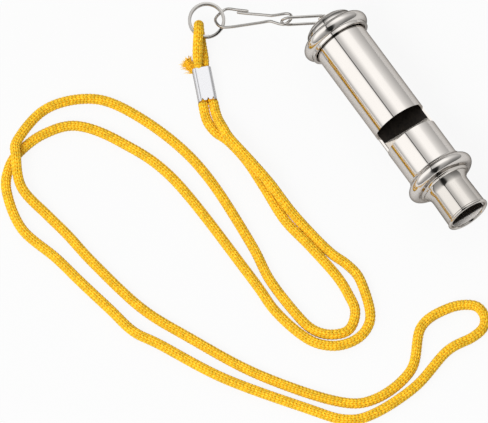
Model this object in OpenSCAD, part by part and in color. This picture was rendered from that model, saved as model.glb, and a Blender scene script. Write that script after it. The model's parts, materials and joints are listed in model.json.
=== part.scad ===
// Two-note tube whistle on a knitted neck lanyard, laid out on a table.
// The tube is level on its two rolled beads. +X runs from the cap to the mouth.
// The table is z = 0 and the tube axis lies in the plane y = 0.

/* [Tube] */
// Outside diameter of the barrel
barrel_d = 18; // [15:0.5:21]
// Sheet thickness of the barrel
barrel_wall = 0.7; // [0.5:0.05:0.9]
// Bare barrel length between the collar and the cap skirt
chamber_len = 53.6; // [46:0.2:66]
// How far the rolled beads stand out from the barrel
bead_reach = 2.7; // [2.2:0.1:3.2]

/* [Windows] */
// Bare barrel length from the collar to the sill of the window
window_start = 12.7; // [10:0.1:16]
// Length of the window along the crown of the barrel
window_len = 7.3; // [5:0.1:9]
// How much the sill leans toward the cap at the sides
sill_slant = 2.3; // [0:0.1:3]
// How much the sounding lip leans toward the cap at the sides
lip_slant = 1.1; // [0:0.1:2]
// Height of the window floor above the middle plane
window_floor = 1.5; // [0.8:0.1:3]
// Radial height of the air slit over the windway block
slit_h = 1.1; // [0.8:0.1:1.6]

/* [Mouthpiece] */
// Length of the straight part between the lips
mouth_len = 10.3; // [8:0.1:14]
// Outside diameter behind the rolled lip
mouth_d = 14.1; // [12.5:0.1:15]
// Wall thickness at the mouth bore
mouth_wall = 1.25; // [0.9:0.05:1.6]
// Radius of the hollow flare up to the collar
flare_r = 3.6; // [3:0.1:5]

/* [Cap] */
// Length of the skirt below the middle of the brim bead
skirt_len = 2.9; // [2.6:0.1:5]
// Thickness of the skirt sheet
skirt_t = 1.36; // [0.8:0.02:1.8]
// Height of the dome above the groove
dome_h = 4.8; // [4:0.1:6]

/* [Bail and clip] */
// Diameter of the bail and clip wire
wire_d = 0.9; // [0.7:0.05:1]
// Distance from the stud hole to the tip of the bail
bail_len = 13.4; // [12:0.1:16]
// Distance between the two legs of the bail
bail_w = 5.4; // [4.8:0.1:7]
// Outside diameter of the split ring
ring_d = 12; // [11.4:0.1:12.6]

/* [Lanyard] */
// Diameter of the knitted cord
cord_d = 3.2; // [2.4:0.1:3.3]
// Length of the crimped ferrule
ferrule_len = 11.7; // [9:0.1:15]
// Width of the crimped ferrule
ferrule_w = 6.1; // [5.9:0.1:7.4]

/* [Hidden] */
$fn = 96;

nickel = [0.80, 0.79, 0.77];
brass = [0.72, 0.60, 0.36];
wire_tone = [0.70, 0.70, 0.70];
yarn = [0.97, 0.70, 0.08];

// Radii of the tube and the solder gap between seated sheets
barrel_r = barrel_d / 2;
barrel_in_r = barrel_r - barrel_wall;
solder_gap = 0.04;
cut_over = 1;

// Stations along the tube, measured from the rim of the mouth toward the cap
lip_bead_r = 0.58;
lip_step = 0.3;
mouth_r = mouth_d / 2;
bore_r = mouth_r - mouth_wall;
neck_r = mouth_r - 0.2;
flare_rise = barrel_r - neck_r;
rim_land = 0.3;
flare_len = sqrt(pow(flare_r, 2) - pow(flare_r - flare_rise, 2));
tube_s = mouth_len + flare_len + rim_land;
collar_len = 5.5;
collar_bead_r = 2;
collar_bead_s = tube_s + collar_bead_r + 0.2;
collar_end_s = tube_s + collar_len;
sill_s = collar_end_s + window_start;
labium_s = sill_s + window_len;
skirt_s = collar_end_s + chamber_len;
brim_s = skirt_s + skirt_len;
brim_bead_r = 2.1;
barrel_end_s = brim_s + 0.5;
groove_s = brim_s + 1.4;
dome_step = 0.1;
apex_s = groove_s + dome_h + 2 * dome_step;
stud_len = 1.7;
stud_end_s = apex_s + stud_len;
hinge_s = stud_end_s - stud_len / 2;

// Place of the tube on the table
bead_top_r = barrel_r + bead_reach;
axis_z = bead_top_r;
bail_turn = 239.95;
lip_x = (hinge_s - (bail_len + wire_d / 2) * cos(bail_turn)) / 2;

// Collar sleeve
collar_edge_t = 0.35;
collar_flare_r = 1.4;

// Relief turned inside the edge of the cap skirt
skirt_relief = 0.45;
relief_len = 1.2;

// Dome of the cap
dome_sheet = 0.8;
dome_base_r = barrel_r - 0.4;
dome_power = 3.2;
dome_points = 40;
step_r = [dome_base_r * 0.72, dome_base_r * 0.42];
cap_floor_s = barrel_end_s + solder_gap;

// Stud, washer and rivet end
stud_r = 1.4;
shank_r = 0.9;
rivet_h = 0.7;
washer_r = 2.5;
washer_t = 0.6;
washer_top_s = groove_s + dome_at(washer_r, dome_base_r - dome_sheet, dome_h - dome_sheet) - solder_gap;
washer_s = washer_top_s - washer_t;
rivet_s = washer_s - solder_gap - rivet_h;

// Divider plate, windway blocks and chamber stops
plate_t = 0.8;
plate_half = plate_t / 2;
plate_w = 2 * (barrel_in_r - 0.05);
plate_end_s = cap_floor_s - 0.4;
spigot_len = 4;
spigot_wall = 0.9;
spigot_end_s = tube_s + spigot_len;
plate_s = spigot_end_s + 0.1;
tongue_w = 2 * bore_r - 0.2;
tongue_s = 0.3;
block_r = barrel_in_r - slit_h;
block_s = spigot_end_s + 3.5;
stop_t = 1.2;
front_stop_s = skirt_s + 1.5;
rear_stop_s = skirt_s - 8.5;

// Bail in a level swing about the upright hole of the stud
wire_r = wire_d / 2;
pin_clear = 0.08;
pin_gap = 0.5;
bail_bend = 0.9;
hinge_x = lip_x - hinge_s;
tip_x = hinge_x + bail_len * cos(bail_turn);
tip_y = bail_len * sin(bail_turn);

// Spring clip: one bent wire, laid from the bail down to the split ring
clip_turn = 227.6;
clip_roll = 20;
clip_side = -1.1;
hook_reach = 22.7;
hook_z = 4.9;
clip_pitch = asin((axis_z - hook_z) / hook_reach);
waist = [4, -1.3];
gate_gap = 0.15;
clip_points = [[12.8, -3.5], [16.5, -4], [19.9, -4.4], [21.6, -2.7], [22.7, 0], [21.9, 2.1], [19.9, 3.9],
    [16.9, 4.1], [12, 3.1], [7, 2], [4, 1.3], [2, 1.9], [0, 2.6], [-1.7, 2.6], [-3, 0.4], [-2.5, -1.7],
    [-0.7, -2.3], [1.5, -1.8]];
gate_points = [[8, -1.8], [12, -2.2], [15.7, -2.7]];
waist_dir = [1, -0.12] / norm([1, -0.12]);
wire_sides = 8;
clip_steps = 3;

// Split ring: two turns of flat wire, tipped so that its far side is higher
ring_along = 25.55;
ring_side = 0.4;
ring_x = tip_x + ring_along * cos(clip_pitch) * cos(clip_turn) - ring_side * sin(clip_turn);
ring_y = tip_y + ring_along * cos(clip_pitch) * sin(clip_turn) + ring_side * cos(clip_turn);
ring_z = 5.6;
ring_tip = 10;
ring_tip_turn = 56.3;
ring_wire_w = 1;
ring_wire_t = 0.75;
ring_mean_r = (ring_d - ring_wire_w) / 2;
ring_pitch = 0.81;
ring_start = 25;
ring_sweep = 670;
ring_ramp_at = 335;
ring_ramp = 50;
ring_step = 10;

// Ferrule and the cord gripped in it
ferrule_turn = -23.3;
ferrule_x = ring_x + 12.3;
ferrule_y = ring_y - 10.2;
ferrule_h = 4.2;
ferrule_wall = 0.4;
ferrule_round = 1.3;
core_gap = 0.05;
notch_depth = 0.9;
notch_half = 0.45;
notch_sides = [-1.6, 0.2, 1.9];
end_gap = 0.1;

// Laid cord, as places from the lower end of the ferrule with a lift above the resting height
cord_r = cord_d / 2;
table_gap = 0.1;
rest_z = cord_r + table_gap;
cord_sides = 8;
pair_half = cord_r + 0.06;
lay_x = ferrule_x + ferrule_len * cos(ferrule_turn);
lay_y = ferrule_y + ferrule_len * sin(ferrule_turn);
cord_lift = 0.4;
route_out = [[5, -4, 0], [10, -4, 0], [15, -2, 0], [24, -1, 0], [35, -1.5, 0], [48, -2.5, 0], [60, -1, 0],
    [73, 0.5, 0], [81, 0, 0], [87, -1.5, 0], [91, -6.5, 0], [89.5, -12, 0], [85, -16, 0], [78, -17.5, 0],
    [63, -18, 0], [49, -16, 0], [23, -14.5, 0], [4.5, -17, 0], [-14, -24, 0], [-23, -32, 0], [-27, -45, 0],
    [-22, -58.5, 2.6], [-17, -62.5, 3.6], [-7.5, -66.5, 1.5], [5, -64.5, 0], [14, -63, 0], [27, -61.5, 0],
    [48, -57.5, 0], [65, -50.5, 0], [87.5, -39.5, 0], [109, -24, 0], [115.5, -13, 0], [113.5, 2, 0],
    [103, 13, 0], [102.5, 24, 0], [106, 31, 0], [110.5, 32, 0]];
route_back = [[114, 29.5, 0], [115, 24.5, 0], [114.5, 15, 0], [119, 0, 0], [119.5, -16, 0], [116, -25, 0],
    [106, -33, 0], [83, -49, 0], [62, -59.5, 0], [53.5, -64, 0], [43, -66, 0], [30, -68.5, 0],
    [18.5, -70.5, 0], [4, -74, 0], [-9.5, -71, 0], [-16, -66, 0], [-19, -60, 0], [-20, -50, 0],
    [-16.5, -39.5, 0], [-4, -31, 0], [17, -24, 0], [58, -22.5, 0], [73, -22.5, 0], [86, -19.5, 0],
    [92.5, -14.5, 0], [95, -8, 0], [94, -2, 0], [89.5, 2.5, 0], [78.5, 6, 0], [72, 5.5, 0], [66, 4, 0],
    [58, 2.5, 0.1], [47, 1, 1.1], [36, 0, 3.3], [25, -1, 3.5], [16, -2, 3.5], [11.5, -1.5, 3.2], [6, 0, 0.6]];

// Loop through the ring and the cut tail, as places from the upper end of the ferrule
loop_points = [[-end_gap, 1.35, 1.5], [-4, 1.5, 1.7], [-7.8, 1.6, 1.7], [-11, 1.7, 1.7], [-13.4, 1.75, 2.6],
    [-14.3, 1.75, 4.8], [-13.4, 1.6, 6.9], [-11, 1.1, 7.8], [-7.8, 0.3, 7.2], [-4, -0.5, 5.3], [-end_gap, -0.9, 3.1]];
loop_end_r = 1.1;
loop_steps = 2;
tail_points = [[-end_gap, -1.95, 1.3], [-1.6, -2.7, 1.4], [-3.9, -4.5, 1.45]];
tail_r = [0.9, 1.25, 1.35];

function unit(v) = v / norm(v);
function turned(p, a) = [p[0] * cos(a) - p[1] * sin(a), p[0] * sin(a) + p[1] * cos(a)];
function along(p, i) = unit(p[min(i + 1, len(p) - 1)] - p[max(i - 1, 0)]);
function flat(p) = [for (q = p) [q[0], q[1], 0]];
function sill_at(h) = sill_s + sill_slant * (barrel_r - h) / (barrel_r - window_floor);
function dome_at(r, base, h) = h * pow(1 - pow(min(1, r / base), dome_power), 1 / dome_power);
function labium_at(h) = labium_s + lip_slant * (barrel_r - h) / (barrel_r - window_floor);

// Point on a smooth curve through b and c, with a and d as the neighbours
function bend_point(a, b, c, d, t) = 0.5 * (2 * b + (c - a) * t + (2 * a - 5 * b + 4 * c - d) * t * t
    + (3 * b - a - 3 * c + d) * t * t * t);
function near(p, i) = p[max(0, min(len(p) - 1, i))];
function smooth(p, n) = concat([for (i = [0 : len(p) - 2]) for (k = [0 : n - 1])
    bend_point(near(p, i - 1), p[i], p[i + 1], near(p, i + 2), k / n)], [p[len(p) - 1]]);

// Ring of points round a path place, with one side kept square to the given direction
function ring_round(c, t, ref, r, n) = let (u = unit(cross(ref, t)), w = cross(t, u))
    [for (k = [0 : n - 1]) c + r * (cos(360 * k / n) * u + sin(360 * k / n) * w)];

// Solid skin over a row of point rings with n points each
module skin(rings, n) {
    last = len(rings) - 1;
    sides = [for (i = [0 : last - 1]) for (k = [0 : n - 1]) let (m = (k + 1) % n)
        each [[i * n + k, (i + 1) * n + m, i * n + m], [i * n + k, (i + 1) * n + k, (i + 1) * n + m]]];
    lids = [[for (k = [0 : n - 1]) k], [for (k = [0 : n - 1]) last * n + n - 1 - k]];
    polyhedron([for (r = rings) each r], concat(sides, lids));
}

// Round tube along a path, with one radius for each place and square ends where a direction is given
module tube(path, radii, ref, n, first = undef, last = undef) {
    end = len(path) - 1;
    dirs = [for (i = [0 : end]) i == 0 && first != undef ? first : i == end && last != undef ? last : along(path, i)];
    skin([for (i = [0 : end]) ring_round(path[i], dirs[i], ref, radii[i], n)], n);
}

// Frame of the tube: z runs from the mouth toward the cap and x points up
module from_lip() {
    translate([lip_x, 0, axis_z]) rotate([0, -90, 0]) children();
}

// Side view of the tube (station, height) carried across its whole width
module across(w) {
    rotate([0, -90, -90]) linear_extrude(w, center = true) children();
}

// Half of the tube: 0 is the upper, front half and 180 the lower, rear half
module on_half(side) {
    from_lip() rotate([0, 0, side]) children();
}

module window_shape() {
    top = barrel_r + cut_over;
    polygon([[sill_at(top), top], [labium_at(top), top], [labium_at(window_floor), window_floor],
        [sill_at(window_floor), window_floor]]);
}

module barrel() {
    color(nickel) from_lip() difference() {
        translate([0, 0, tube_s]) cylinder(r = barrel_r, h = barrel_end_s - tube_s);
        translate([0, 0, tube_s - cut_over]) cylinder(r = barrel_in_r, h = barrel_end_s - tube_s + 2 * cut_over);
        for (side = [0, 180]) rotate([0, 0, side]) across(barrel_d + cut_over) window_shape();
    }
}

module divider_plate() {
    color(brass) from_lip() {
        translate([-plate_half, -plate_w / 2, plate_s]) cube([plate_t, plate_w, plate_end_s - plate_s]);
        translate([-plate_half, -tongue_w / 2, tongue_s]) cube([plate_t, tongue_w, plate_s - tongue_s + cut_over]);
    }
}

module windway_block(side) {
    top = block_r + cut_over;
    color(brass) on_half(side) intersection() {
        translate([0, 0, block_s]) cylinder(r = block_r, h = labium_s - block_s);
        across(2 * top) polygon([[block_s - cut_over, plate_half], [block_s - cut_over, top], [sill_at(top), top],
            [sill_at(plate_half), plate_half]]);
    }
}

module front_windway_block() {
    windway_block(0);
}

module rear_windway_block() {
    windway_block(180);
}

module chamber_stop(side, s) {
    top = barrel_in_r + cut_over;
    color(brass) on_half(side) intersection() {
        translate([0, 0, s]) cylinder(r = barrel_in_r - solder_gap, h = stop_t);
        across(2 * top) polygon([[s - cut_over, plate_half], [s + 2 * stop_t, plate_half], [s + 2 * stop_t, top],
            [s - cut_over, top]]);
    }
}

module front_chamber_stop() {
    chamber_stop(0, front_stop_s);
}

module rear_chamber_stop() {
    chamber_stop(180, rear_stop_s);
}

// Turned mouthpiece: rolled lip, straight part, hollow flare and the spigot inside the barrel
module mouthpiece() {
    spigot_r = barrel_in_r - solder_gap;
    color(nickel) from_lip() rotate_extrude() difference() {
        union() {
            translate([mouth_r + lip_step - lip_bead_r, lip_bead_r]) circle(lip_bead_r, $fn = 48);
            polygon([[bore_r, lip_bead_r], [mouth_r, lip_bead_r], [neck_r, mouth_len], [bore_r, mouth_len]]);
            difference() {
                translate([bore_r, mouth_len]) square([barrel_r - bore_r, tube_s - mouth_len]);
                translate([neck_r + flare_r, mouth_len]) circle(flare_r);
            }
            translate([bore_r, tube_s - cut_over]) square([spigot_r - bore_r, spigot_len + cut_over]);
        }
        polygon([[0, mouth_len], [bore_r, mouth_len], [spigot_r - spigot_wall, spigot_end_s],
            [spigot_r - spigot_wall, spigot_end_s + cut_over], [0, spigot_end_s + cut_over]]);
    }
}

module bead_collar() {
    sleeve_r = barrel_r + solder_gap;
    edge_r = sleeve_r + collar_edge_t;
    bead_c_r = bead_top_r - collar_bead_r;
    color(nickel) from_lip() rotate_extrude() difference() {
        union() {
            translate([bead_c_r, collar_bead_s]) circle(collar_bead_r);
            translate([sleeve_r, tube_s]) square([collar_edge_t, collar_len]);
            difference() {
                translate([sleeve_r, collar_bead_s]) square([collar_flare_r, collar_end_s - collar_bead_s]);
                translate([edge_r + collar_flare_r, collar_end_s]) circle(collar_flare_r);
            }
        }
        translate([0, tube_s - cut_over]) square([sleeve_r, collar_len + 2 * cut_over]);
    }
}

// Half section of a full dome that stands at the given station
module dome(base, h, s, floor_s) {
    polygon(concat([[0, floor_s], [base, floor_s]], [for (k = [0 : dome_points]) let (r = base * cos(90 * k / dome_points))
        [r, s + dome_at(r, base, h)]]));
}

// Spun cap: skirt, rolled brim, groove and a stepped dome with a hole for the stud
module end_cap() {
    sleeve_r = barrel_r + solder_gap;
    color(nickel) from_lip() rotate_extrude() difference() {
        union() {
            translate([sleeve_r, skirt_s]) square([skirt_t, skirt_len]);
            translate([bead_top_r - brim_bead_r, brim_s]) circle(brim_bead_r);
            dome(dome_base_r, dome_h, groove_s, cap_floor_s);
            for (i = [0, 1]) intersection() {
                dome(dome_base_r, dome_h, groove_s + (i + 1) * dome_step, groove_s);
                translate([0, groove_s]) square([step_r[i], 2 * dome_h]);
            }
        }
        translate([0, skirt_s - cut_over]) square([sleeve_r, cap_floor_s - skirt_s + cut_over]);
        translate([0, skirt_s - cut_over]) square([sleeve_r + skirt_relief, relief_len + cut_over]);
        dome(dome_base_r - dome_sheet, dome_h - dome_sheet, groove_s, cap_floor_s - cut_over);
        translate([0, cap_floor_s]) square([shank_r + solder_gap, 3 * dome_h]);
    }
}

module bail_stud() {
    color(nickel) from_lip() difference() {
        union() {
            translate([0, 0, apex_s]) cylinder(r = stud_r, h = stud_len);
            translate([0, 0, rivet_s + rivet_h / 2]) cylinder(r = shank_r, h = apex_s - rivet_s);
            translate([0, 0, rivet_s]) cylinder(r = stud_r, h = rivet_h);
        }
        translate([0, 0, hinge_s]) rotate([0, 90, 0]) cylinder(r = wire_r + pin_clear, h = 4 * stud_r, center = true);
    }
}

module stud_washer() {
    color(brass) from_lip() translate([0, 0, washer_s]) difference() {
        cylinder(r = washer_r, h = washer_t);
        translate([0, 0, -cut_over]) cylinder(r = shank_r + solder_gap, h = washer_t + 2 * cut_over);
    }
}

// Bent wire bail: two pins in the stud hole, two legs and a half-round tip
module bail() {
    half_w = bail_w / 2;
    arc_x = bail_len - half_w;
    color(wire_tone) translate([hinge_x, 0, axis_z]) rotate([0, 0, bail_turn]) {
        for (side = [0, 180]) rotate([side, 0, 0]) {
            translate([0, 0, pin_gap]) cylinder(r = wire_r, h = half_w - bail_bend - pin_gap);
            translate([bail_bend, 0, half_w - bail_bend]) rotate([90, 0, 0]) rotate([0, 0, 90])
                rotate_extrude(angle = 90) translate([bail_bend, 0]) circle(wire_r);
            translate([bail_bend, 0, half_w]) rotate([0, 90, 0]) cylinder(r = wire_r, h = arc_x - bail_bend);
        }
        translate([arc_x, 0, 0]) rotate([90, 0, 0]) rotate([0, 0, -90])
            rotate_extrude(angle = 180) translate([half_w, 0]) circle(wire_r);
    }
}

// Frame of the clip: x runs from the bail tip to the hook and y to the near side
module on_clip() {
    translate([tip_x, tip_y, axis_z]) rotate([0, 0, clip_turn]) rotate([0, clip_pitch, 0])
        translate([0, clip_side, 0]) rotate([clip_roll, 0, 0]) children();
}

module clip_wire() {
    path = flat(smooth(concat(clip_points, [waist - gate_gap * waist_dir]), clip_steps));
    color(wire_tone) on_clip() tube(path, [for (p = path) wire_r], [0, 0, 1], wire_sides);
}

module clip_gate() {
    path = flat(smooth(concat([waist + gate_gap * waist_dir], gate_points), clip_steps));
    color(wire_tone) on_clip() tube(path, [for (p = path) wire_r], [0, 0, 1], wire_sides);
}

// Height of the flat wire in its two turns, with a short ramp between the layers
function ring_lift(a) = ring_pitch * (min(1, max(0, (a - ring_ramp_at) / ring_ramp)) - 0.5);
function ring_section(a) = [for (q = [[-1, -1], [1, -1], [1, 1], [-1, 1]])
    let (r = ring_mean_r + q[0] * ring_wire_w / 2)
    [r * cos(a), r * sin(a), ring_lift(a) + q[1] * ring_wire_t / 2]];

module split_ring() {
    color(wire_tone) translate([ring_x, ring_y, ring_z])
        rotate(a = ring_tip, v = [cos(ring_tip_turn), sin(ring_tip_turn), 0])
        skin([for (a = [ring_start : ring_step : ring_start + ring_sweep]) ring_section(a)], 4);
}

// Frame of the ferrule: x runs from its ring end to its loop end, on the table
module on_ferrule() {
    translate([ferrule_x, ferrule_y, 0]) rotate([0, 0, ferrule_turn]) children();
}

// Rounded oblong, given by its full width, full height and corner radius
module oblong(w, h, r) {
    square([w - 2 * r, h], center = true);
    square([w, h - 2 * r], center = true);
    for (x = [-1, 1]) for (y = [-1, 1]) translate([x * (w / 2 - r), y * (h / 2 - r)]) circle(r, $fn = 32);
}

module along_ferrule() {
    on_ferrule() translate([0, 0, ferrule_h / 2]) children();
}

module ferrule() {
    inner_w = ferrule_w - 2 * ferrule_wall;
    inner_h = ferrule_h - 2 * ferrule_wall;
    color(nickel) along_ferrule() difference() {
        rotate([90, 0, 90]) linear_extrude(ferrule_len) difference() {
            oblong(ferrule_w, ferrule_h, ferrule_round);
            oblong(inner_w, inner_h, ferrule_round - ferrule_wall);
        }
        for (y = notch_sides) translate([ferrule_len, y, ferrule_h / 2 - ferrule_wall - core_gap / 2])
            linear_extrude(ferrule_h) polygon([[-notch_depth, 0], [cut_over, -notch_half - cut_over / 2],
                [cut_over, notch_half + cut_over / 2]]);
    }
}

module cord_core() {
    squeeze = 2 * (ferrule_wall + core_gap);
    color(yarn) along_ferrule() rotate([90, 0, 90]) linear_extrude(ferrule_len)
        oblong(ferrule_w - squeeze, ferrule_h - squeeze, ferrule_round - ferrule_wall - core_gap);
}

module cord_main_loop() {
    first = turned([end_gap, -pair_half], ferrule_turn);
    last = turned([end_gap, pair_half], ferrule_turn);
    route = concat([[first[0], first[1], cord_lift]], route_out, route_back, [[last[0], last[1], cord_lift]]);
    path = [for (p = route) [lay_x + p[0], lay_y + p[1], rest_z + p[2]]];
    lead = [cos(ferrule_turn), sin(ferrule_turn), 0];
    color(yarn) tube(path, [for (p = path) cord_r], [0, 0, 1], cord_sides, lead, -lead);
}

module cord_ring_loop() {
    path = smooth(loop_points, loop_steps);
    last = len(path) - 1;
    radii = [for (i = [0 : last]) min(cord_r, loop_end_r + (cord_r - loop_end_r) * min(i, last - i) / loop_steps)];
    color(yarn) on_ferrule() tube(path, radii, [0, 1, 0], cord_sides, [-1, 0, 0], [1, 0, 0]);
}

module cord_tail() {
    color(yarn) on_ferrule() tube(tail_points, tail_r, [0, 0, 1], cord_sides, [-1, 0, 0]);
}

barrel();
divider_plate();
front_windway_block();
rear_windway_block();
front_chamber_stop();
rear_chamber_stop();
mouthpiece();
bead_collar();
end_cap();
bail_stud();
stud_washer();
bail();
clip_wire();
clip_gate();
split_ring();
ferrule();
cord_core();
cord_main_loop();
cord_ring_loop();
cord_tail();
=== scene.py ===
import json
import math
import bpy
import numpy as np
from mathutils import Matrix, Vector


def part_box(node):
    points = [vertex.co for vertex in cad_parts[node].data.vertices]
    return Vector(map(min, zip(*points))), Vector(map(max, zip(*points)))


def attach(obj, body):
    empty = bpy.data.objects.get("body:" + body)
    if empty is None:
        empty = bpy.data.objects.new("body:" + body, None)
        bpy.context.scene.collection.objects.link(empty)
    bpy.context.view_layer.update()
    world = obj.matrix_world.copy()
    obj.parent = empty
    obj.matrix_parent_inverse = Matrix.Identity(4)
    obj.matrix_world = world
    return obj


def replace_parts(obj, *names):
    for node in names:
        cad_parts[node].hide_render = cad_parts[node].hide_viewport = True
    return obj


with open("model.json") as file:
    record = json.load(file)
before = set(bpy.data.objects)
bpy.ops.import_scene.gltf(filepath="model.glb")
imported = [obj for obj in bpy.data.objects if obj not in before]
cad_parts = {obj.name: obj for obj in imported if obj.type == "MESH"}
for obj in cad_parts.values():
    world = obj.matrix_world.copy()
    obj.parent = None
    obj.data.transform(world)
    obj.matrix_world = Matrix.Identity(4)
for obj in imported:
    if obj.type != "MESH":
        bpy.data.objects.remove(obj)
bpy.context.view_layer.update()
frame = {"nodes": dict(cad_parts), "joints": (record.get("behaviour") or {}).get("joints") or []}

MM = 0.001
UP = np.array([0.0, 0.0, 1.0])
rng = np.random.default_rng(7)
scene = bpy.context.scene
nodes = frame["nodes"]
joints = {j["name"]: j for j in frame["joints"]}

# ---------------------------------------------------------------- camera
AZ, EL = math.radians(56.3), math.radians(66.0)
PHOTO_W = 488
MM_PER_PX = 0.32
CAM_DISTANCE = 3.0
CAM_CLIP = (0.05, 20)
TARGET = Vector((-0.26, -55.86, 0.0)) * MM
SENSOR = 36.0

view_dir = Vector((-math.sin(AZ) * math.cos(EL), math.cos(AZ) * math.cos(EL), -math.sin(EL)))
cam_data = bpy.data.cameras.new("camera")
cam_data.sensor_fit = "HORIZONTAL"
cam_data.sensor_width = SENSOR
cam_data.lens = SENSOR * CAM_DISTANCE / (PHOTO_W * MM_PER_PX * MM)
cam_data.clip_start, cam_data.clip_end = CAM_CLIP
cam = bpy.data.objects.new("camera", cam_data)
scene.collection.objects.link(cam)
cam.location = TARGET - view_dir * CAM_DISTANCE
cam.rotation_euler = view_dir.to_track_quat("-Z", "Y").to_euler()
scene.camera = cam

# ---------------------------------------------------------------- places of the lanyard, in mm
tip = np.array(joints["clip_swing"]["pos_m"]) / MM
ring_c = np.array(joints["ring_turn"]["pos_m"]) / MM
FERRULE_TURN = math.radians(-23.3)
FERRULE_LEN = 11.7
FERRULE_FROM_RING = (12.3, -10.2)
fer_x = np.array([math.cos(FERRULE_TURN), math.sin(FERRULE_TURN), 0.0])
fer_y = np.array([-math.sin(FERRULE_TURN), math.cos(FERRULE_TURN), 0.0])
fer_top = np.array([ring_c[0] + FERRULE_FROM_RING[0], ring_c[1] + FERRULE_FROM_RING[1], 0.0])
fer_end = fer_top + FERRULE_LEN * fer_x

# ---------------------------------------------------------------- cord routes
# As in the CAD, but nine points by the ferrule and before the first bend are up to 0.5 mm nearer
# the other strand. The main loop is measured from the ferrule's end, along the world's axes; the
# ring loop and the tail are measured from the ferrule's top, along the ferrule.
CORD_R = 1.6
REST_Z = 1.7
PAIR_HALF = 1.66
PAIR_LIFT = 0.4
END_GAP = 0.1
ROUTE_OUT = [
    (5, -3.7, 0), (10, -3.7, 0), (15, -2, 0), (24, -1, 0), (35, -1.5, 0), (48, -2.4, 0),
    (60, -0.8, 0), (73, 0.5, 0), (81, 0, 0), (87, -1.5, 0), (91, -6.5, 0), (89.5, -12, 0),
    (85, -16, 0), (78, -17.5, 0), (63, -18, 0), (49, -16, 0), (23, -14.5, 0), (4.5, -17, 0),
    (-14, -24, 0), (-23, -32, 0), (-27, -45, 0), (-22, -58.5, 2.6), (-17, -62.5, 3.6),
    (-7.5, -66.5, 1.5), (5, -64.5, 0), (14, -63, 0), (27, -61.5, 0), (48, -57.5, 0),
    (65, -50.5, 0), (87.5, -39.5, 0), (109, -24, 0), (115.5, -13, 0), (113.5, 2, 0),
    (103, 13, 0), (102.5, 24, 0), (106, 31, 0), (110.5, 32, 0)]
ROUTE_BACK = [
    (114, 29.5, 0), (115, 24.5, 0), (114.5, 15, 0), (119, 0, 0), (119.5, -16, 0), (116, -25, 0),
    (106, -33, 0), (83, -49, 0), (62, -59.5, 0), (53.5, -64, 0), (43, -66, 0), (30, -68.5, 0),
    (18.5, -70.5, 0), (4, -74, 0), (-9.5, -71, 0), (-16, -66, 0), (-19, -60, 0), (-20, -50, 0),
    (-16.5, -39.5, 0), (-4, -31, 0), (17, -24, 0), (58, -22.5, 0), (73, -22.5, 0), (86, -19.5, 0),
    (92.5, -14.5, 0), (95, -8, 0), (94, -2, 0), (89.5, 2.5, 0), (78.5, 6, 0), (72, 5.5, 0),
    (66, 3.5, 0), (58, 2.1, 0.1), (47, 0.7, 1.1), (36, 0, 3.3), (25, -1, 3.5), (16, -2, 3.5),
    (11.5, -1.7, 3.2), (6, -0.5, 0.6)]
LOOP = [
    (-END_GAP, 1.35, 1.5), (-4, 1.5, 1.7), (-7.8, 1.6, 1.7), (-11, 1.7, 1.7), (-13.4, 1.75, 2.6),
    (-14.3, 1.75, 4.8), (-13.4, 1.6, 6.9), (-11, 1.1, 7.8), (-7.8, 0.3, 7.2), (-4, -0.5, 5.3),
    (-END_GAP, -0.9, 3.1)]
LOOP_R = ([0, 0.11, 0.9, 1], [1.15, CORD_R, CORD_R, 1.15])
TAIL = [(-END_GAP, -1.95, 1.3), (-1.6, -2.7, 1.4), (-3.9, -4.5, 1.45)]
TAIL_R = [0.9, 1.25, 1.3]


# ---------------------------------------------------------------- paths and tubes
def from_ferrule(p):
    return fer_top + p[0] * fer_x + p[1] * fer_y + p[2] * UP


def catmull(points, n):
    """Smooth curve through the points, n steps in each span."""
    p = np.array(points, float)
    p = np.vstack([p[:1], p, p[-1:]])
    t = np.arange(n)[:, None] / n
    out = []
    for i in range(1, len(p) - 2):
        a, b, c, d = p[i - 1:i + 3]
        out.append(0.5 * (2 * b + (c - a) * t + (2 * a - 5 * b + 4 * c - d) * t ** 2
                          + (3 * b - a - 3 * c + d) * t ** 3))
    return np.vstack(out + [p[-2:-1]])


def arc_of(p):
    """Length run at each point of a path."""
    return np.concatenate([[0.0], np.cumsum(np.linalg.norm(np.diff(p, axis=0), axis=1))])


def resample(p, step):
    """Path with points about a step apart, and the length run at each."""
    s = arc_of(p)
    count = max(2, int(round(s[-1] / step)) + 1)
    q = np.linspace(0, s[-1], count)
    return np.stack([np.interp(q, s, p[:, k]) for k in range(3)], axis=1), q


def frames(p, ref):
    """Tangent and two carried side vectors at each place of a path."""
    t = np.gradient(p, axis=0)
    t /= np.linalg.norm(t, axis=1)[:, None]
    u = np.empty_like(p)
    v = np.cross(np.array(ref, float), t[0])
    v /= np.linalg.norm(v)
    for i in range(len(p)):
        v = v - t[i] * (v @ t[i])
        v /= np.linalg.norm(v)
        u[i] = v
    return t, u, np.cross(t, u)


def make(name, verts_mm, faces, finish, body, smooth=True):
    """New piece from points in mm, with a material; it rides on a body."""
    mesh = bpy.data.meshes.new(name)
    mesh.from_pydata((np.asarray(verts_mm) * MM).tolist(), [], faces)
    mesh.polygons.foreach_set("use_smooth", [smooth] * len(mesh.polygons))
    mesh.update()
    obj = bpy.data.objects.new(name, mesh)
    scene.collection.objects.link(obj)
    mesh.materials.append(finish)
    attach(obj, body)
    return obj


def tube_faces(rings, n, base=0):
    """Side faces and end caps of a tube of rings with n points each."""
    i, k = np.meshgrid(np.arange(rings - 1), np.arange(n), indexing="ij")
    a, b = base + i * n + k, base + i * n + (k + 1) % n
    f = np.stack([a, b, b + n, a + n], axis=-1).reshape(-1, 4).tolist()
    f.append([base + q for q in range(n)][::-1])
    f.append([base + (rings - 1) * n + q for q in range(n)])
    return f


DOME = [(0.0, 1.0), (0.55, 0.84), (0.88, 0.48), (0.99, 0.12)]  # reach and width, in radii


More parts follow.
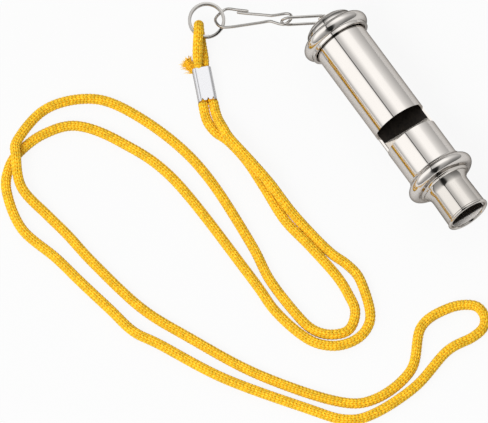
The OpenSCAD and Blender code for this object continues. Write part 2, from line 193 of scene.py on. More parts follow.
def sweep(path, radius, n, ref, round_ends=True):
    """Round wire along a path; its ends are domed."""
    t, u, w = frames(path, ref)
    r = np.full(len(path), radius) if np.isscalar(radius) else np.asarray(radius)
    c = path
    if round_ends:
        head = [(c[0] - t[0] * r[0] * q, r[0] * k) for q, k in DOME[:0:-1]]
        foot = [(c[-1] + t[-1] * r[-1] * q, r[-1] * k) for q, k in DOME[1:]]
        c = np.vstack([[h[0] for h in head], c, [h[0] for h in foot]])
        r = np.concatenate([[h[1] for h in head], r, [h[1] for h in foot]])
        u = np.vstack([[u[0]] * len(head), u, [u[-1]] * len(foot)])
        w = np.vstack([[w[0]] * len(head), w, [w[-1]] * len(foot)])
    ang = np.linspace(0, 2 * math.pi, n, endpoint=False)
    ring = (np.cos(ang)[None, :, None] * u[:, None, :]
            + np.sin(ang)[None, :, None] * w[:, None, :])
    verts = (c[:, None, :] + r[:, None, None] * ring).reshape(-1, 3)
    return verts, tube_faces(len(c), n)


# ---------------------------------------------------------------- shader nodes
def put(tree, socket, value):
    """Links an output to the socket, or sets the socket to a constant."""
    if isinstance(value, bpy.types.NodeSocket):
        tree.links.new(value, socket)
    else:
        socket.default_value = value


def add(tree, kind, **sockets):
    """New node; its sockets are given by name, with _ for a space."""
    made = tree.nodes.new("ShaderNode" + kind)
    for key, value in sockets.items():
        put(tree, made.inputs[key.replace("_", " ")], value)
    return made


def maths(tree, op, *values):
    made = tree.nodes.new("ShaderNodeMath")
    made.operation = op
    for k, value in enumerate(values):
        put(tree, made.inputs[k], value)
    return made.outputs["Value"]


def vectors(tree, op, *values, out="Vector"):
    made = tree.nodes.new("ShaderNodeVectorMath")
    made.operation = op
    for k, value in enumerate(values):
        put(tree, made.inputs[k], value)
    return made.outputs[out]


def scaled(tree, colour, factor):
    made = tree.nodes.new("ShaderNodeVectorMath")
    made.operation = "SCALE"
    put(tree, made.inputs[0], colour)
    put(tree, made.inputs["Scale"], factor)
    return made.outputs["Vector"]


def mixed(tree, kind, a, b, factor):
    """Mix of two colours (kind RGBA) or two numbers (kind FLOAT)."""
    made = tree.nodes.new("ShaderNodeMix")
    made.data_type = kind
    for key, value in (("A", a), ("B", b), ("Factor", factor)):
        put(tree, made.inputs[key], value)
    return made.outputs["Result"]


def remap(tree, value, low=0.0, high=1.0, to_low=0.0, to_high=1.0, smooth=False):
    made = tree.nodes.new("ShaderNodeMapRange")
    if smooth:
        made.interpolation_type = "SMOOTHSTEP"
    for key, v in (("Value", value), ("From Min", low), ("From Max", high),
                   ("To Min", to_low), ("To Max", to_high)):
        put(tree, made.inputs[key], v)
    return made.outputs["Result"]


def ramped(tree, value, stops):
    """Colour ramp over a value; stops are (position, colour), in rising order."""
    made = tree.nodes.new("ShaderNodeValToRGB")
    marks = made.color_ramp.elements
    for k, (place, colour) in enumerate(stops):
        mark = marks[k] if k < 2 else marks.new(place)
        mark.position = place
        mark.color = (*colour, 1)
    put(tree, made.inputs["Fac"], value)
    return made.outputs["Color"]


def graded(tree, value, stops):
    """Grey ramp over a value; stops are (value, level), in rising order."""
    low, high = stops[0][0], stops[-1][0]
    marks = [((v - low) / (high - low), (grey, grey, grey)) for v, grey in stops]
    return ramped(tree, remap(tree, value, low, high), marks)


def material(name):
    m = bpy.data.materials.new(name)
    m.use_nodes = True
    return m, m.node_tree, m.node_tree.nodes["Principled BSDF"]


def object_place(tree):
    return tree.nodes.new("ShaderNodeTexCoord").outputs["Object"]


# ---------------------------------------------------------------- metals
AXIS_Z = 11.7 * MM                               # height of the whistle's axis
DOME_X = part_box("end_cap")[0][0] + 5.0 * MM      # place of the dome's foot along the whistle
FOOT_R = 8.6 * MM                                # radius of the dome's foot
# painted shade in the crease at the dome's foot: its place, fully dark width and fade
FOOT_BACK, FOOT_DARK, FOOT_CLEAR = 0.25 * MM, 0.25 * MM, 0.6 * MM
DOME_FADE = 0.6 * MM
SPUN_PERIOD, SPUN_DEPTH = 0.95 * MM, 0.05 * MM
# how dark the painted shade in the ring grooves and at the dome's foot is
GROOVE_SHADE_TONE, FOOT_SHADE_TONE = 0.25, 0.12
BORE_ROUGH = 0.55
TUBE_BORE_R, MOUTH_BORE_R = 8.33 * MM, 5.95 * MM
HAZE_SPAN = (0.35, 0.75)
HAZE_TONE = 0.93
LEAST_ROUGH, MOST_ROUGH = 0.6, 1.7               # share of the stated roughness
NICKEL = (0.83, 0.79, 0.75)
# painted shade: the nickel made darker for the mouthpiece
NICKEL_MOUTH_SHADED = (0.73, 0.69, 0.645)
NICKEL_BORE = (0.90, 0.86, 0.82)
NICKEL_BLOCK = (0.74, 0.69, 0.63)
WIRE_GREY = (0.64, 0.615, 0.585)
FERRULE_GREY = (0.76, 0.76, 0.78)
# painted shade: near-black colour of the barrel's inside, which is only in shadow
DARK = (0.018, 0.015, 0.013)
PLAIN_EDGE, DEEP_EDGE = 0.55, 0.36               # how much of a slanting reflection is kept


def turned_rings(tree, at, radius, normal, colour):
    """Rings that spinning left on the dome, with painted shade in their grooves and at the dome's
    foot.
    """
    x = add(tree, "SeparateXYZ", Vector=at).outputs["X"]
    wave = maths(tree, "SINE", maths(tree, "MULTIPLY", radius, 2 * math.pi / SPUN_PERIOD))
    rings = maths(tree, "MULTIPLY", wave, remap(tree, x, DOME_X + DOME_FADE, DOME_X))
    bump = add(tree, "Bump", Height=rings, Normal=normal, Strength=1.0, Distance=SPUN_DEPTH)
    # painted shade: the grooves of the rings are darkened
    groove_shade = remap(tree, rings, -1.0, 0.0, GROOVE_SHADE_TONE, 1.0)
    beside = add(tree, "CombineXYZ", X=x, Y=radius).outputs["Vector"]
    off = vectors(tree, "DISTANCE", beside, (DOME_X - FOOT_BACK, FOOT_R, 0), out="Value")
    # painted shade at the dome's foot
    foot = remap(tree, off, FOOT_DARK, FOOT_CLEAR, FOOT_SHADE_TONE)
    return bump.outputs["Normal"], scaled(tree, colour, maths(tree, "MULTIPLY", groove_shade, foot))


def polished(name, colour, rough, grain, bore=None, spun=False, metal=1.0, edge=PLAIN_EDGE):
    """Plated metal with faint wiping marks and scratches, stretched by grain.

    bore is the radius, colour and metallic value of a dull inside (near-black painted shade in the
    barrel); spun adds rings on the dome, with painted shade in their grooves.
    """
    m, tree, bsdf = material(name)
    bsdf.inputs["Metallic"].default_value = metal
    bsdf.inputs["Specular Tint"].default_value = (edge, edge * 0.95, edge * 0.9, 1)
    at = object_place(tree)
    haze = add(tree, "TexNoise", Vector=at, Scale=90.0, Detail=4.0, Roughness=0.6).outputs["Fac"]
    along = add(tree, "Mapping", Vector=at, Scale=grain).outputs["Vector"]
    lines = add(tree, "TexNoise", Vector=along, Scale=1.0, Detail=3.0, Roughness=0.7).outputs["Fac"]
    rough_out = remap(tree, haze, *HAZE_SPAN, rough * LEAST_ROUGH, rough * MOST_ROUGH)
    dim = tuple(c * HAZE_TONE for c in colour)
    colour_out = mixed(tree, "RGBA", (*dim, 1), (*colour, 1), haze)
    scratches = add(tree, "Bump", Height=lines, Strength=0.035, Distance=0.00002)
    normal_out = scratches.outputs["Normal"]
    if bore or spun:
        across = vectors(tree, "MULTIPLY_ADD", at, (0, 1, 1), (0, 0, -AXIS_Z))
        radius = vectors(tree, "LENGTH", across, out="Value")
    if spun:
        normal_out, colour_out = turned_rings(tree, at, radius, normal_out, colour_out)
    if bore:
        limit, bore_colour, bore_metal = bore
        inside = maths(tree, "LESS_THAN", radius, limit)
        colour_out = mixed(tree, "RGBA", colour_out, (*bore_colour, 1), inside)
        rough_out = mixed(tree, "FLOAT", rough_out, BORE_ROUGH, inside)
        if bore_metal != metal:
            plate = remap(tree, inside, to_low=metal, to_high=bore_metal)
            put(tree, bsdf.inputs["Metallic"], plate)
    put(tree, bsdf.inputs["Base Color"], colour_out)
    put(tree, bsdf.inputs["Roughness"], rough_out)
    put(tree, bsdf.inputs["Normal"], normal_out)
    return m


def shade_dark_brass(name):
    """Brass of the inner pieces, painted near-black as shade inside the tube."""
    m, tree, bsdf = material(name)
    bsdf.inputs["Metallic"].default_value = 0.6
    spots = add(tree, "TexNoise", Vector=object_place(tree), Scale=700.0, Detail=5.0,
                Roughness=0.65).outputs["Fac"]
    bump = add(tree, "Bump", Height=spots, Strength=0.2, Distance=0.00005)
    # painted shade: near-black base, varied at random by the spots
    stops = [(0.35, (0.010, 0.008, 0.007)), (0.75, (0.034, 0.026, 0.020))]
    put(tree, bsdf.inputs["Base Color"], ramped(tree, spots, stops))
    put(tree, bsdf.inputs["Roughness"], remap(tree, spots, to_low=0.45, to_high=0.75))
    put(tree, bsdf.inputs["Normal"], bump.outputs["Normal"])
    return m


# the barrel's inside gets the near-black painted shade
nickel = polished("nickel", NICKEL, 0.045, (900, 5000, 5000), bore=(TUBE_BORE_R, DARK, 1.0))
# the mouthpiece's plating is a darker copy of the nickel, as painted shade
nickel_mouth_shaded = polished("nickel_mouth_shaded", NICKEL_MOUTH_SHADED, 0.05, (5000, 900, 900),
                        bore=(MOUTH_BORE_R, NICKEL_BORE, 0.0), edge=DEEP_EDGE)
nickel_block = polished("nickel_block", NICKEL_BLOCK, 0.4, (3000, 3000, 3000), metal=0.2)
nickel_spun = polished("nickel_spun", NICKEL, 0.05, (6000, 500, 500), spun=True, edge=DEEP_EDGE)
nickel_collar = polished("nickel_collar", NICKEL, 0.05, (6000, 500, 500), edge=DEEP_EDGE)
wire_metal = polished("spring_wire", WIRE_GREY, 0.09, (4000, 4000, 4000))
ferrule_metal = polished("ferrule_plate", FERRULE_GREY, 0.16, (900, 3000, 3000))
# the inner pieces are painted near-black as shade
inner_brass = shade_dark_brass("inner_brass")

# ---------------------------------------------------------------- yarn
# painted shade, orange, in the stitch gaps (low); painted highlight on the crests (high)
YARN_SHADE_STOPS = [(0.05, (0.97, 0.41, 0.004)), (0.55, (1.0, 0.55, 0.010)), (1.0, (1.0, 0.67, 0.05))]


def yarn(name):
    """Golden polyester yarn: painted shade makes it orange in the gaps and a painted highlight
    lighter on the crests, with fine fibre streaks.

    The mesh attribute yarn holds the height in the stitch (red), which sets the painted shade and
    highlight, and the leg's own random tone (green).
    """
    m, tree, bsdf = material(name)
    held = tree.nodes.new("ShaderNodeAttribute")
    held.attribute_name = "yarn"
    split = add(tree, "SeparateColor", Color=held.outputs["Color"])
    at = object_place(tree)
    fibre = add(tree, "TexNoise", Vector=at, Scale=9000.0, Detail=3.0, Roughness=0.6).outputs["Fac"]
    blotch = add(tree, "TexNoise", Vector=at, Scale=260.0, Detail=2.0).outputs["Fac"]
    height = maths(tree, "MULTIPLY_ADD", fibre, 0.35, split.outputs["Red"])
    # painted shade and highlight by height in the stitch
    tone = ramped(tree, maths(tree, "SUBTRACT", height, 0.2), YARN_SHADE_STOPS)
    shade = remap(tree, split.outputs["Green"], to_low=0.80, to_high=1.08)
    bump = add(tree, "Bump", Height=fibre, Strength=0.35, Distance=0.00004)
    put(tree, bsdf.inputs["Base Color"], scaled(tree, tone, shade))
    put(tree, bsdf.inputs["Roughness"], remap(tree, blotch, to_low=0.55, to_high=0.8))
    put(tree, bsdf.inputs["Normal"], bump.outputs["Normal"])
    bsdf.inputs["Sheen Weight"].default_value = 0.12
    bsdf.inputs["Sheen Roughness"].default_value = 0.4
    bsdf.inputs["Sheen Tint"].default_value = (1.0, 0.85, 0.45, 1)
    bsdf.inputs["Specular IOR Level"].default_value = 0.25
    return m


cord_yellow = yarn("cord_yellow")


def paint_yarn(obj, red, green):
    """Stores the height, which sets the painted shade and highlight, and the random tone of each
    point for the yarn's material.
    """
    tone = obj.data.attributes.new("yarn", "FLOAT_COLOR", "POINT")
    colour = np.stack([red, green, np.zeros_like(red), np.ones_like(red)], axis=1)
    tone.data.foreach_set("color", colour.reshape(-1))


# ---------------------------------------------------------------- knitted cord
COLUMNS = 6              # columns of stitches round the cord
STITCH = 1.2             # length of a stitch
KNIT_STEP = 0.35
CORE_R = 1.32
CORE_SIDES = 12
CORE_EVERY = 3           # the core has a ring at every third step
# the core lies in the gaps and takes the painted gap shade
CORE_GAP_SHADE, CORE_SHADE = 0.05, 0.4
LEG_SIDES = 4
LEG_T = np.array([-0.08, 0.16, 0.5, 0.84, 1.08])
LEG_SPAN = 1.3           # length of a leg, in stitches
LEG_BACK = 0.2           # how far it starts in the stitch before
LEG_START, LEG_SPREAD = 0.07, 0.36   # its place and run across the column
LEG_FILL = 0.9
LEG_SINK, CREST_IN = 0.12, 0.16      # how deep its ends and its crest lie
LEG_BULGE = np.array([0.0, 0.72, 1.0, 0.72, 0.0])
LEG_HALF_W = 0.37 * np.array([0.15, 0.85, 1.0, 0.85, 0.15])
LEG_HALF_H = 0.24 * np.array([0.15, 0.9, 1.0, 0.9, 0.15])
# painted shade at leg ends in the gaps, painted highlight at the crest; outer faces painted
# lighter, inner faces darker
LEG_SHADE_TONE = np.array([0.05, 0.45, 0.8, 0.45, 0.05])
TOP_HIGHLIGHT, UNDER_SHADE = 0.22, -0.12


def knit(name, path, radius, body, ref):
    """Tube of knitted stitches round a core: each stitch is a pair of bulging yarn legs in a V."""
    fine, s = resample(path, KNIT_STEP)
    t, u, w = frames(fine, ref)
    rad = np.interp(s, np.linspace(0, s[-1], len(radius)), radius)
    ang = np.linspace(0, 2 * math.pi, CORE_SIDES, endpoint=False)
    keep = np.unique(np.concatenate([np.arange(0, len(fine), CORE_EVERY), [len(fine) - 1]]))
    ring = (np.cos(ang)[None, :, None] * u[keep, None, :]
            + np.sin(ang)[None, :, None] * w[keep, None, :])
    core = fine[keep, None, :] + (rad[keep] * CORE_R / CORD_R)[:, None, None] * ring
    core = core.reshape(-1, 3)
    faces = tube_faces(len(keep), CORE_SIDES)

    # Axes of the leg arrays: row, column, side of the V, place along the leg
    rows = int(s[-1] / STITCH)
    row = np.arange(rows)[:, None, None, None]
    column = np.arange(COLUMNS)[None, :, None, None]
    side = np.array([-1.0, 1.0])[None, None, :, None]
    tt = LEG_T[None, None, None, :]
    dphi = 2 * math.pi / COLUMNS
    along = np.clip(row * (s[-1] / rows) + (tt * LEG_SPAN - LEG_BACK) * STITCH, 0, s[-1])
    phi = column * dphi + side * dphi * (LEG_START + LEG_SPREAD * tt)
    shape = np.broadcast_shapes(along.shape, phi.shape)
    along, phi = np.broadcast_to(along, shape), np.broadcast_to(phi, shape)
    flat_s = along.reshape(-1)
    c, tv, uv, wv = (
        np.stack([np.interp(flat_s, s, a[:, k]) for k in range(3)], axis=1).reshape(*shape, 3)
        for a in (fine, t, u, w))
    scale = (np.interp(flat_s, s, rad) / CORD_R).reshape(shape)[..., None]
    out = np.cos(phi)[..., None] * uv + np.sin(phi)[..., None] * wv
    across = -np.sin(phi)[..., None] * uv + np.cos(phi)[..., None] * wv
    lean = math.atan2(LEG_SPREAD * dphi * CORD_R, LEG_SPAN * STITCH)
    width_dir = across * math.cos(lean) - side[..., None] * tv * math.sin(lean)
    lift = CORE_R - LEG_SINK + (CORD_R - CREST_IN - CORE_R + LEG_SINK) * LEG_BULGE
    centre = c + out * lift[None, None, None, :, None] * scale
    half_w = (width_dir * LEG_HALF_W[None, None, None, :, None] * scale)[..., None, :]
    half_h = (out * LEG_HALF_H[None, None, None, :, None] * scale)[..., None, :]
    q = np.linspace(0, 2 * math.pi, LEG_SIDES, endpoint=False) + math.pi / LEG_SIDES
    grow = 1.0 / math.cos(math.pi / LEG_SIDES) * LEG_FILL
    legs = (centre[..., None, :] + (np.cos(q) * grow)[:, None] * half_w
            + (np.sin(q) * grow)[:, None] * half_h)
    count = rows * COLUMNS * 2
    points = len(LEG_T) * LEG_SIDES
    one = np.array(tube_faces(len(LEG_T), LEG_SIDES))
    base = len(core) + np.arange(count) * points
    leg_faces = (base[:, None, None] + one[None]).reshape(-1, 4).tolist()
    verts = np.vstack([core, legs.reshape(-1, 3)])
    obj = make(name, verts, faces + leg_faces, cord_yellow, body)

    # painted highlight on each leg's outer face, painted shade on its inner face
    top = np.tile(np.where(np.sin(q) > 0, TOP_HIGHLIGHT, UNDER_SHADE), len(LEG_T))
    height = np.clip(np.repeat(LEG_SHADE_TONE, LEG_SIDES) + top, 0, 1)
    shade = np.repeat(rng.uniform(0, 1, count), points)
    paint_yarn(obj, np.concatenate([np.full(len(core), CORE_GAP_SHADE), np.tile(height, count)]),
               np.concatenate([np.full(len(core), CORE_SHADE), shade]))
    return obj


lay = np.array([fer_end[0], fer_end[1], REST_Z])
exit_mid = fer_end + END_GAP * fer_x
first = exit_mid - PAIR_HALF * fer_y + (REST_Z + PAIR_LIFT) * UP
last = exit_mid + PAIR_HALF * fer_y + (REST_Z + PAIR_LIFT) * UP
route = [first] + [lay + np.array(p) for p in ROUTE_OUT + ROUTE_BACK] + [last]
main_path = catmull(route, 10)
main_path[:, 2] = np.maximum(main_path[:, 2], REST_Z)
main_path, _ = resample(main_path, 0.8)
main_cord = knit("Cord_main_loop", main_path, [CORD_R, CORD_R], "lanyard", UP)
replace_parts(main_cord, "cord_main_loop")

loop_path, _ = resample(catmull([from_ferrule(p) for p in LOOP], 12), 0.5)
loop_r = np.interp(np.linspace(0, 1, 60), *LOOP_R)
ring_loop = knit("Cord_ring_loop", loop_path, loop_r, "lanyard", fer_y)
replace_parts(ring_loop, "cord_ring_loop")

tail_path, _ = resample(catmull([from_ferrule(p) for p in TAIL], 8), 0.3)
tail = knit("Cord_tail", tail_path, TAIL_R, "lanyard", UP)
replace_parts(tail, "cord_tail")

# ---------------------------------------------------------------- frayed end of the tail
FIBRES = 520
FIBRE_LEN = 1.8
FIBRE_SPREAD = 1.3
FIBRE_SIDES = 4
FIBRE_TAPER = np.array([1, 1, 0.95, 0.8, 0.45])
TUFT_R = 1.15            # radius from which the fibres start
TUFT_BACK = 0.4
FLOOR_CLEAR = 0.12


def fibres(name, path_in, heading):
    """Loose yarn ends that stand off the last part of the tail in a tuft."""
    verts, faces = [], []
    side = np.cross(heading, UP)
    side /= np.linalg.norm(side)
    lift = np.cross(side, heading)
    x = np.linspace(0, 1, len(FIBRE_TAPER))[:, None]
    for _ in range(FIBRES):
        a, q = rng.uniform(0, 2 * math.pi), math.sqrt(rng.uniform(0, 1))
        off = math.cos(a) * side + math.sin(a) * lift
        root = path_in[int(rng.uniform(0.1, 1.0) * (len(path_in) - 1))]
        start = root + TUFT_R * q * off - heading * TUFT_BACK
        aim = heading + FIBRE_SPREAD * (
            0.45 * q * off + rng.normal(0, 0.45) * side + rng.normal(0.1, 0.35) * lift)
        aim /= np.linalg.norm(aim)
        curl = rng.normal(0, 0.5) * side + rng.normal(-0.15, 0.3) * lift
        size = FIBRE_LEN * rng.uniform(0.5, 1.2)
        path = start + size * (x * aim + 0.5 * x ** 2 * curl)
        path[:, 2] = np.maximum(path[:, 2], FLOOR_CLEAR)
        r = rng.uniform(0.06, 0.1) * FIBRE_TAPER
        v, f = sweep(path, r, FIBRE_SIDES, UP, round_ends=False)
        faces += [[b + len(verts) for b in g] for g in f]
        verts += v.tolist()
    obj = make(name, verts, faces, cord_yellow, "lanyard")
    height = rng.uniform(0.6, 1.0, FIBRES).repeat(len(FIBRE_TAPER) * FIBRE_SIDES)
    paint_yarn(obj, height, height)
    return obj


tail_dir = tail_path[-1] - tail_path[-3]
tail_dir /= np.linalg.norm(tail_dir)
fray = fibres("Cord_fray", tail_path, tail_dir)

# ---------------------------------------------------------------- cord squeezed in the ferrule
STRAND_Y, STRAND_Z = 1.32, 2.1
STRAND_HALF_W, STRAND_HALF_H = 1.28, 1.6
STRAND_SIDES = 20
STRAND_SQUARE = 0.6      # power that fills the corners of the round
STRAND_IN = 0.02
SWELL, SWELL_RATE = 0.015, 7.0


def ferrule_core(name):
    """Two flattened strands pressed together, just clear of the band."""
    verts, faces = [], []
    ang = np.linspace(0, 2 * math.pi, STRAND_SIDES, endpoint=False)
    squared_y = np.sign(np.cos(ang)) * np.abs(np.cos(ang)) ** STRAND_SQUARE
    squared_z = np.sign(np.sin(ang)) * np.abs(np.sin(ang)) ** STRAND_SQUARE
    stations = np.linspace(STRAND_IN, FERRULE_LEN - STRAND_IN, 40)
    for y0 in (-STRAND_Y, STRAND_Y):
        base = len(verts)
        for x in stations:
            swell = 1 + SWELL * math.sin(x * SWELL_RATE)
            verts += [from_ferrule((x, y0 + p, STRAND_Z + q))
                      for p, q in zip(squared_y * STRAND_HALF_W * swell,
                                      squared_z * STRAND_HALF_H * swell)]
        faces += tube_faces(len(stations), STRAND_SIDES, base)
    obj = make(name, verts, faces, cord_yellow, "lanyard")
    height = rng.uniform(0.1, 0.6, len(verts))
    paint_yarn(obj, height, height)
    return obj


core = ferrule_core("Cord_in_ferrule")
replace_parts(core, "cord_core")

# ---------------------------------------------------------------- clip and gate in round wire
WIRE_R = 0.45
WIRE_SIDES = 14
CLIP_TURN, CLIP_ROLL = math.radians(227.6), math.radians(20)
HOOK_DROP, HOOK_REACH = 11.7 - 4.9, 22.7
CLIP_PITCH = math.asin(HOOK_DROP / HOOK_REACH)
CLIP_SIDE = -1.1
CLIP_LAY = Matrix.Rotation(CLIP_TURN, 3, "Z") @ Matrix.Rotation(CLIP_PITCH, 3, "Y")
CLIP_M = np.array(CLIP_LAY @ Matrix.Rotation(CLIP_ROLL, 3, "X"))
CLIP = [
    (12.8, -3.5), (16.5, -4), (19.9, -4.4), (21.6, -2.7), (22.7, 0), (21.9, 2.1), (19.9, 3.9),
    (16.9, 4.1), (12, 3.1), (7, 2), (4, 1.3), (2, 1.9), (0, 2.6), (-1.7, 2.6), (-3, 0.4),
    (-2.5, -1.7), (-0.7, -2.3), (1.5, -1.8), (4, -1.3)]
GATE = [(4, -1.3), (8, -1.8), (12, -2.2), (15.7, -2.7)]
clip_c = tip + np.array(CLIP_LAY @ Vector((0, CLIP_SIDE, 0)))


def bent_wire(name, points, body, node):
    """Round wire through points in the clip's plane; it stands for a CAD node."""
    placed = np.array([CLIP_M @ np.array([x, y, 0.0]) + clip_c for x, y in points])
    path, _ = resample(catmull(placed, 12), 0.3)
    verts, faces = sweep(path, WIRE_R, WIRE_SIDES, CLIP_M @ UP)
    obj = make(name, verts, faces, wire_metal, body)
    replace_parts(obj, node)
    return obj


clip_obj = bent_wire("Clip_wire", CLIP, "clip", "clip_wire")
gate_obj = bent_wire("Clip_gate", GATE, "gate", "clip_gate")

# ---------------------------------------------------------------- split ring in flat wire
RING_R, RING_W, RING_T, RING_PITCH = 5.5, 1.0, 0.75, 0.81
RING_CORNER = 0.2
RING_TILT = math.radians(10)
RING_START, RING_END, RING_STEP = 25, 695.1, 2.5     # degrees along the two turns
CLIMB_START, CLIMB_RUN = 335, 50                     # where it climbs to the second layer


def split_ring(name):
    """Two turns of flat wire with eased edges and a short ramp between the layers."""
    section = []
    for sx, sy, a0 in ((1, 1, 0), (-1, 1, 90), (-1, -1, 180), (1, -1, 270)):
        for k in range(4):
            a = math.radians(a0 + 30 * k)
            section.append((sx * (RING_W / 2 - RING_CORNER) + RING_CORNER * math.cos(a),
                            sy * (RING_T / 2 - RING_CORNER) + RING_CORNER * math.sin(a)))
    tilt_axis = Vector((math.cos(AZ), math.sin(AZ), 0))
    tilt = np.array(Matrix.Rotation(RING_TILT, 3, tilt_axis))
    verts = []
    angles = np.arange(RING_START, RING_END, RING_STEP)
    for a in angles:
        lift = RING_PITCH * (min(1, max(0, (a - CLIMB_START) / CLIMB_RUN)) - 0.5)
        for p, q in section:
            r = RING_R + p
            turn = math.radians(a)
            local = np.array([r * math.cos(turn), r * math.sin(turn), lift + q])
            verts.append(tilt @ local + ring_c)
    faces = tube_faces(len(angles), len(section))
    return make(name, verts, faces, wire_metal, "ring")


ring_obj = split_ring("Split_ring")
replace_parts(ring_obj, "split_ring")

# ---------------------------------------------------------------- barrel and windway blocks
# Stations along the whistle are measured from the lip, heights from its axis, in mm
LIP_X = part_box("mouthpiece")[1][0] / MM
TUBE_R, TUBE_IN_R, TUBE_Z = 9.0, 8.3, AXIS_Z / MM
TUBE_SIDES = 160
ROUND_FIT = 0.02
SILL_S, LABIUM_S, FLOOR_H = 32.1, 38.85, 0.5
SILL_SLANT, LIP_SLANT = 0.5, 0.6
CUT_PAST = 2.0
BLOCK_R, BLOCK_H, PLATE_HALF, RAMP_LEN = 8.2, 7.2, 0.4, 3.6
BLOCK_POINTS = 49


def slanted(station, slant, h):
    """Place along the tube of a cut that leans toward the cap as it goes down the side."""
    return LIP_X - station - slant * (TUBE_R - h) / (TUBE_R - FLOOR_H)


def scratch_object(name, verts_mm, faces):
    """Bare object for the window cut; it is removed again."""
    mesh = bpy.data.meshes.new(name)
    mesh.from_pydata([tuple(c * MM for c in v) for v in verts_mm], [], faces)
    obj = bpy.data.objects.new(name, mesh)
    scene.collection.objects.link(obj)
    return obj


def cut_prism(name, side):
    """Prism across the tube that takes out one window."""
    reach = TUBE_R + CUT_PAST
    cuts = [(SILL_S, SILL_SLANT, reach), (LABIUM_S, LIP_SLANT, reach),
            (LABIUM_S, LIP_SLANT, FLOOR_H), (SILL_S, SILL_SLANT, FLOOR_H)]
    verts = [(slanted(*cut), y * side, TUBE_Z + side * cut[2])
             for y in (reach, -reach) for cut in cuts]
    faces = [(3, 2, 1, 0), (4, 5, 6, 7)]
    faces += [(k, (k + 1) % 4, 4 + (k + 1) % 4, 4 + k) for k in range(4)]
    return scratch_object(name, verts, faces)


def windowed_tube(name):
    """Thin tube with a window cut into each side; its round faces carry exact normals."""
    n = TUBE_SIDES
    (x0, _, _), (x1, _, _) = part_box("barrel")
    ang = np.linspace(0, 2 * math.pi, n, endpoint=False)
    rings = [(x0 / MM, TUBE_R), (x1 / MM, TUBE_R), (x1 / MM, TUBE_IN_R), (x0 / MM, TUBE_IN_R)]
    verts = [(x, r * math.sin(a), TUBE_Z + r * math.cos(a)) for x, r in rings for a in ang]
    faces = [(k * n + i, (k + 1) % 4 * n + i, (k + 1) % 4 * n + (i + 1) % n, k * n + (i + 1) % n)
             for k in range(4) for i in range(n)]
    blank = scratch_object(name + "_blank", verts, faces)
    cutters = [cut_prism(name + "_front_cut", 1), cut_prism(name + "_rear_cut", -1)]
    for cutter in cutters:
        modifier = blank.modifiers.new(cutter.name, "BOOLEAN")
        modifier.operation = "DIFFERENCE"
        modifier.solver = "EXACT"
        modifier.object = cutter
    graph = bpy.context.evaluated_depsgraph_get()
    mesh = bpy.data.meshes.new_from_object(blank.evaluated_get(graph))
    mesh.name = name
    for spare in [blank] + cutters:
        bpy.data.objects.remove(spare)
    axis = Vector((0, 0, AXIS_Z))
    normals = []
    for poly in mesh.polygons:
        poly.use_smooth = True
        out = [(mesh.vertices[v].co - axis) * Vector((0, 1, 1)) for v in poly.vertices]
        size = [o.length / MM for o in out]
        level = abs(poly.normal.x) < 0.5
        if level and max(abs(r - TUBE_R) for r in size) < ROUND_FIT:
            normals += [o.normalized() for o in out]
        elif level and max(abs(r - TUBE_IN_R) for r in size) < ROUND_FIT:
            normals += [-o.normalized() for o in out]
        else:
            normals += [poly.normal.copy() for o in out]
    mesh.normals_split_custom_set(normals)
    obj = bpy.data.objects.new(name, mesh)
    scene.collection.objects.link(obj)
    mesh.materials.clear()
    mesh.materials.append(nickel)
    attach(obj, "whistle")
    return obj


def ramped_block(name, node, side):
    """Half-round block with a flat top under the air slit; past the sill it slopes to the plate."""
    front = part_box(node)[1][0] / MM
    reach = math.acos(PLATE_HALF / BLOCK_R)
    arc = [(BLOCK_R * math.sin(a), min(BLOCK_H, BLOCK_R * math.cos(a)))
           for a in np.linspace(-reach, reach, BLOCK_POINTS)]
    slope = RAMP_LEN / (BLOCK_H - PLATE_HALF)
    verts = [(front, side * y, TUBE_Z + side * h) for y, h in arc]
    verts += [(LIP_X - SILL_S - slope * (BLOCK_H - h), side * y, TUBE_Z + side * h) for y, h in arc]
    n = len(arc)
    faces = [(i, i + 1, n + i + 1, n + i) for i in range(n - 1)] + [(n - 1, 0, n, 2 * n - 1)]
    faces += [tuple(range(n))[::-1], tuple(range(n, 2 * n))]
    return make(name, verts, faces, nickel_block, "whistle", smooth=False)


barrel_obj = windowed_tube("Barrel")
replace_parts(barrel_obj, "barrel")
for piece, node, side in (("Front_windway_block", "front_windway_block", 1),
                          ("Rear_windway_block", "rear_windway_block", -1)):
    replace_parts(ramped_block(piece, node, side), node)

# ---------------------------------------------------------------- finishes of the kept CAD parts
for node, finish in (
        ("mouthpiece", nickel_mouth_shaded), ("bead_collar", nickel_collar), ("end_cap", nickel_spun),
        ("bail_stud", nickel_spun), ("bail", wire_metal), ("ferrule", ferrule_metal),
        ("divider_plate", inner_brass), ("front_chamber_stop", inner_brass),
        ("rear_chamber_stop", inner_brass), ("stud_washer", inner_brass)):
    nodes[node].data.materials.clear()
    nodes[node].data.materials.append(finish)


# ---------------------------------------------------------------- floor
FLOOR_HALF = 4
FLOOR_TONE = 0.72
SEEN_WHITE, MIRRORED_WHITE = 0.90, 0.15   # share of plain white for the camera and in reflections

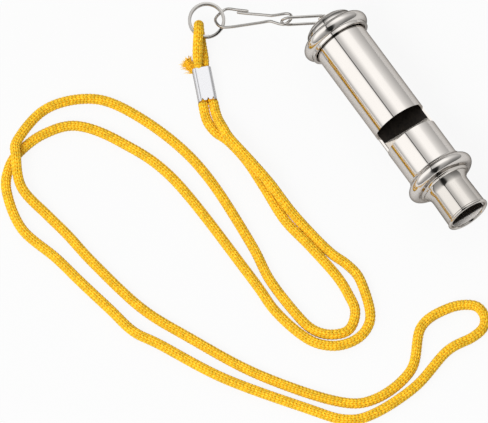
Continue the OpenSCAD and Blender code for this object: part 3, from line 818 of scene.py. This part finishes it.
floor_mesh = bpy.data.meshes.new("floor")
floor_mesh.from_pydata([(-FLOOR_HALF, -FLOOR_HALF, 0), (FLOOR_HALF, -FLOOR_HALF, 0),
                        (FLOOR_HALF, FLOOR_HALF, 0), (-FLOOR_HALF, FLOOR_HALF, 0)],
                       [], [[0, 1, 2, 3]])
floor = bpy.data.objects.new("floor", floor_mesh)
scene.collection.objects.link(floor)
floor_mat, ft, bsdf = material("floor_white")
bsdf.inputs["Base Color"].default_value = (FLOOR_TONE, FLOOR_TONE, FLOOR_TONE, 1)
bsdf.inputs["Roughness"].default_value = 0.9
rays = ft.nodes.new("ShaderNodeLightPath").outputs
seen = maths(ft, "MAXIMUM", rays["Is Camera Ray"], rays["Is Transmission Ray"])
share = maths(ft, "MULTIPLY_ADD", rays["Is Glossy Ray"], MIRRORED_WHITE,
              maths(ft, "MULTIPLY", seen, SEEN_WHITE))
paper = add(ft, "Emission", Strength=1.0)
blend = add(ft, "MixShader", Fac=share)
put(ft, blend.inputs[1], bsdf.outputs["BSDF"])
put(ft, blend.inputs[2], paper.outputs["Emission"])
put(ft, ft.nodes["Material Output"].inputs["Surface"], blend.outputs["Shader"])
floor_mesh.materials.append(floor_mat)

# ---------------------------------------------------------------- light
# The world is two soft boxes along the tube with a gap between them, dimmer toward the mouth end.
# Angles are in degrees across the tube, from straight up; ALONG is by the direction's x.
ACROSS = [
    (-90, 0.42), (-84, 0.60), (-77, 0.93), (-68, 1.0), (-38, 1.0), (-30, 0.97), (-25, 0.8),
    (-21, 0.52), (-14, 0.5), (-5.7, 0.66), (2.5, 0.86), (11, 1.0), (28, 1.0), (37, 0.97),
    (46, 0.76), (56, 0.64), (66, 0.55), (77, 0.47), (90, 0.40)]
ALONG = [
    (-1, 0.10), (-0.93, 0.14), (-0.87, 0.55), (-0.78, 0.95), (-0.6, 1.0), (-0.2, 1.0),
    (0.0, 0.78), (0.25, 0.52), (0.6, 0.34), (1.0, 0.25)]
GAP_TURN = 0.22                          # x over which the gap changes from narrow to wide
GAP_ANGLE, GAP_ANGLE_WIDER = -22, 8      # its middle, and what the wide end adds
GAP_HALF, GAP_HALF_WIDER = 2.2, 15
GAP_LEVEL, GAP_LEVEL_WIDER = 0.13, -0.05
GAP_EDGE = (0.45, 1.5)                   # where its edge fades, in half widths
WORLD_STRENGTH = 1.22

world = bpy.data.worlds.new("studio")
scene.world = world
world.use_nodes = True
wt = world.node_tree
toward = add(wt, "SeparateXYZ", Vector=wt.nodes.new("ShaderNodeTexCoord").outputs["Generated"])
along_x = toward.outputs["X"]
turn_across = maths(wt, "MULTIPLY",
                    maths(wt, "ARCTAN2", toward.outputs["Y"], toward.outputs["Z"]), 180 / math.pi)
wide = remap(wt, along_x, -GAP_TURN, GAP_TURN, smooth=True)
gap_at = maths(wt, "MULTIPLY_ADD", wide, GAP_ANGLE_WIDER, GAP_ANGLE)
gap_half = maths(wt, "MULTIPLY_ADD", wide, GAP_HALF_WIDER, GAP_HALF)
from_gap = maths(wt, "ABSOLUTE", maths(wt, "SUBTRACT", turn_across, gap_at))
gap_level = maths(wt, "MULTIPLY_ADD", wide, GAP_LEVEL_WIDER, GAP_LEVEL)
gap = remap(wt, maths(wt, "DIVIDE", from_gap, gap_half), *GAP_EDGE, gap_level, 1, smooth=True)
boxes = maths(wt, "MULTIPLY", graded(wt, turn_across, ACROSS), graded(wt, along_x, ALONG))
background = wt.nodes["Background"]
put(wt, background.inputs["Color"], maths(wt, "MULTIPLY", boxes, gap))
background.inputs["Strength"].default_value = WORLD_STRENGTH

LAMP_SIZE, LAMP_POWER = 0.8, 14.0
LAMP_PLACE = (0.45, -1.0, 1.1)
lamp_data = bpy.data.lights.new("overhead", "AREA")
lamp_data.shape = "DISK"
lamp_data.size = LAMP_SIZE
lamp_data.energy = LAMP_POWER
lamp = bpy.data.objects.new("overhead", lamp_data)
lamp.location = LAMP_PLACE
lamp.rotation_euler = (-lamp.location).to_track_quat("-Z", "Y").to_euler()
lamp.visible_glossy = False
scene.collection.objects.link(lamp)

scene.view_settings.view_transform = "Standard"
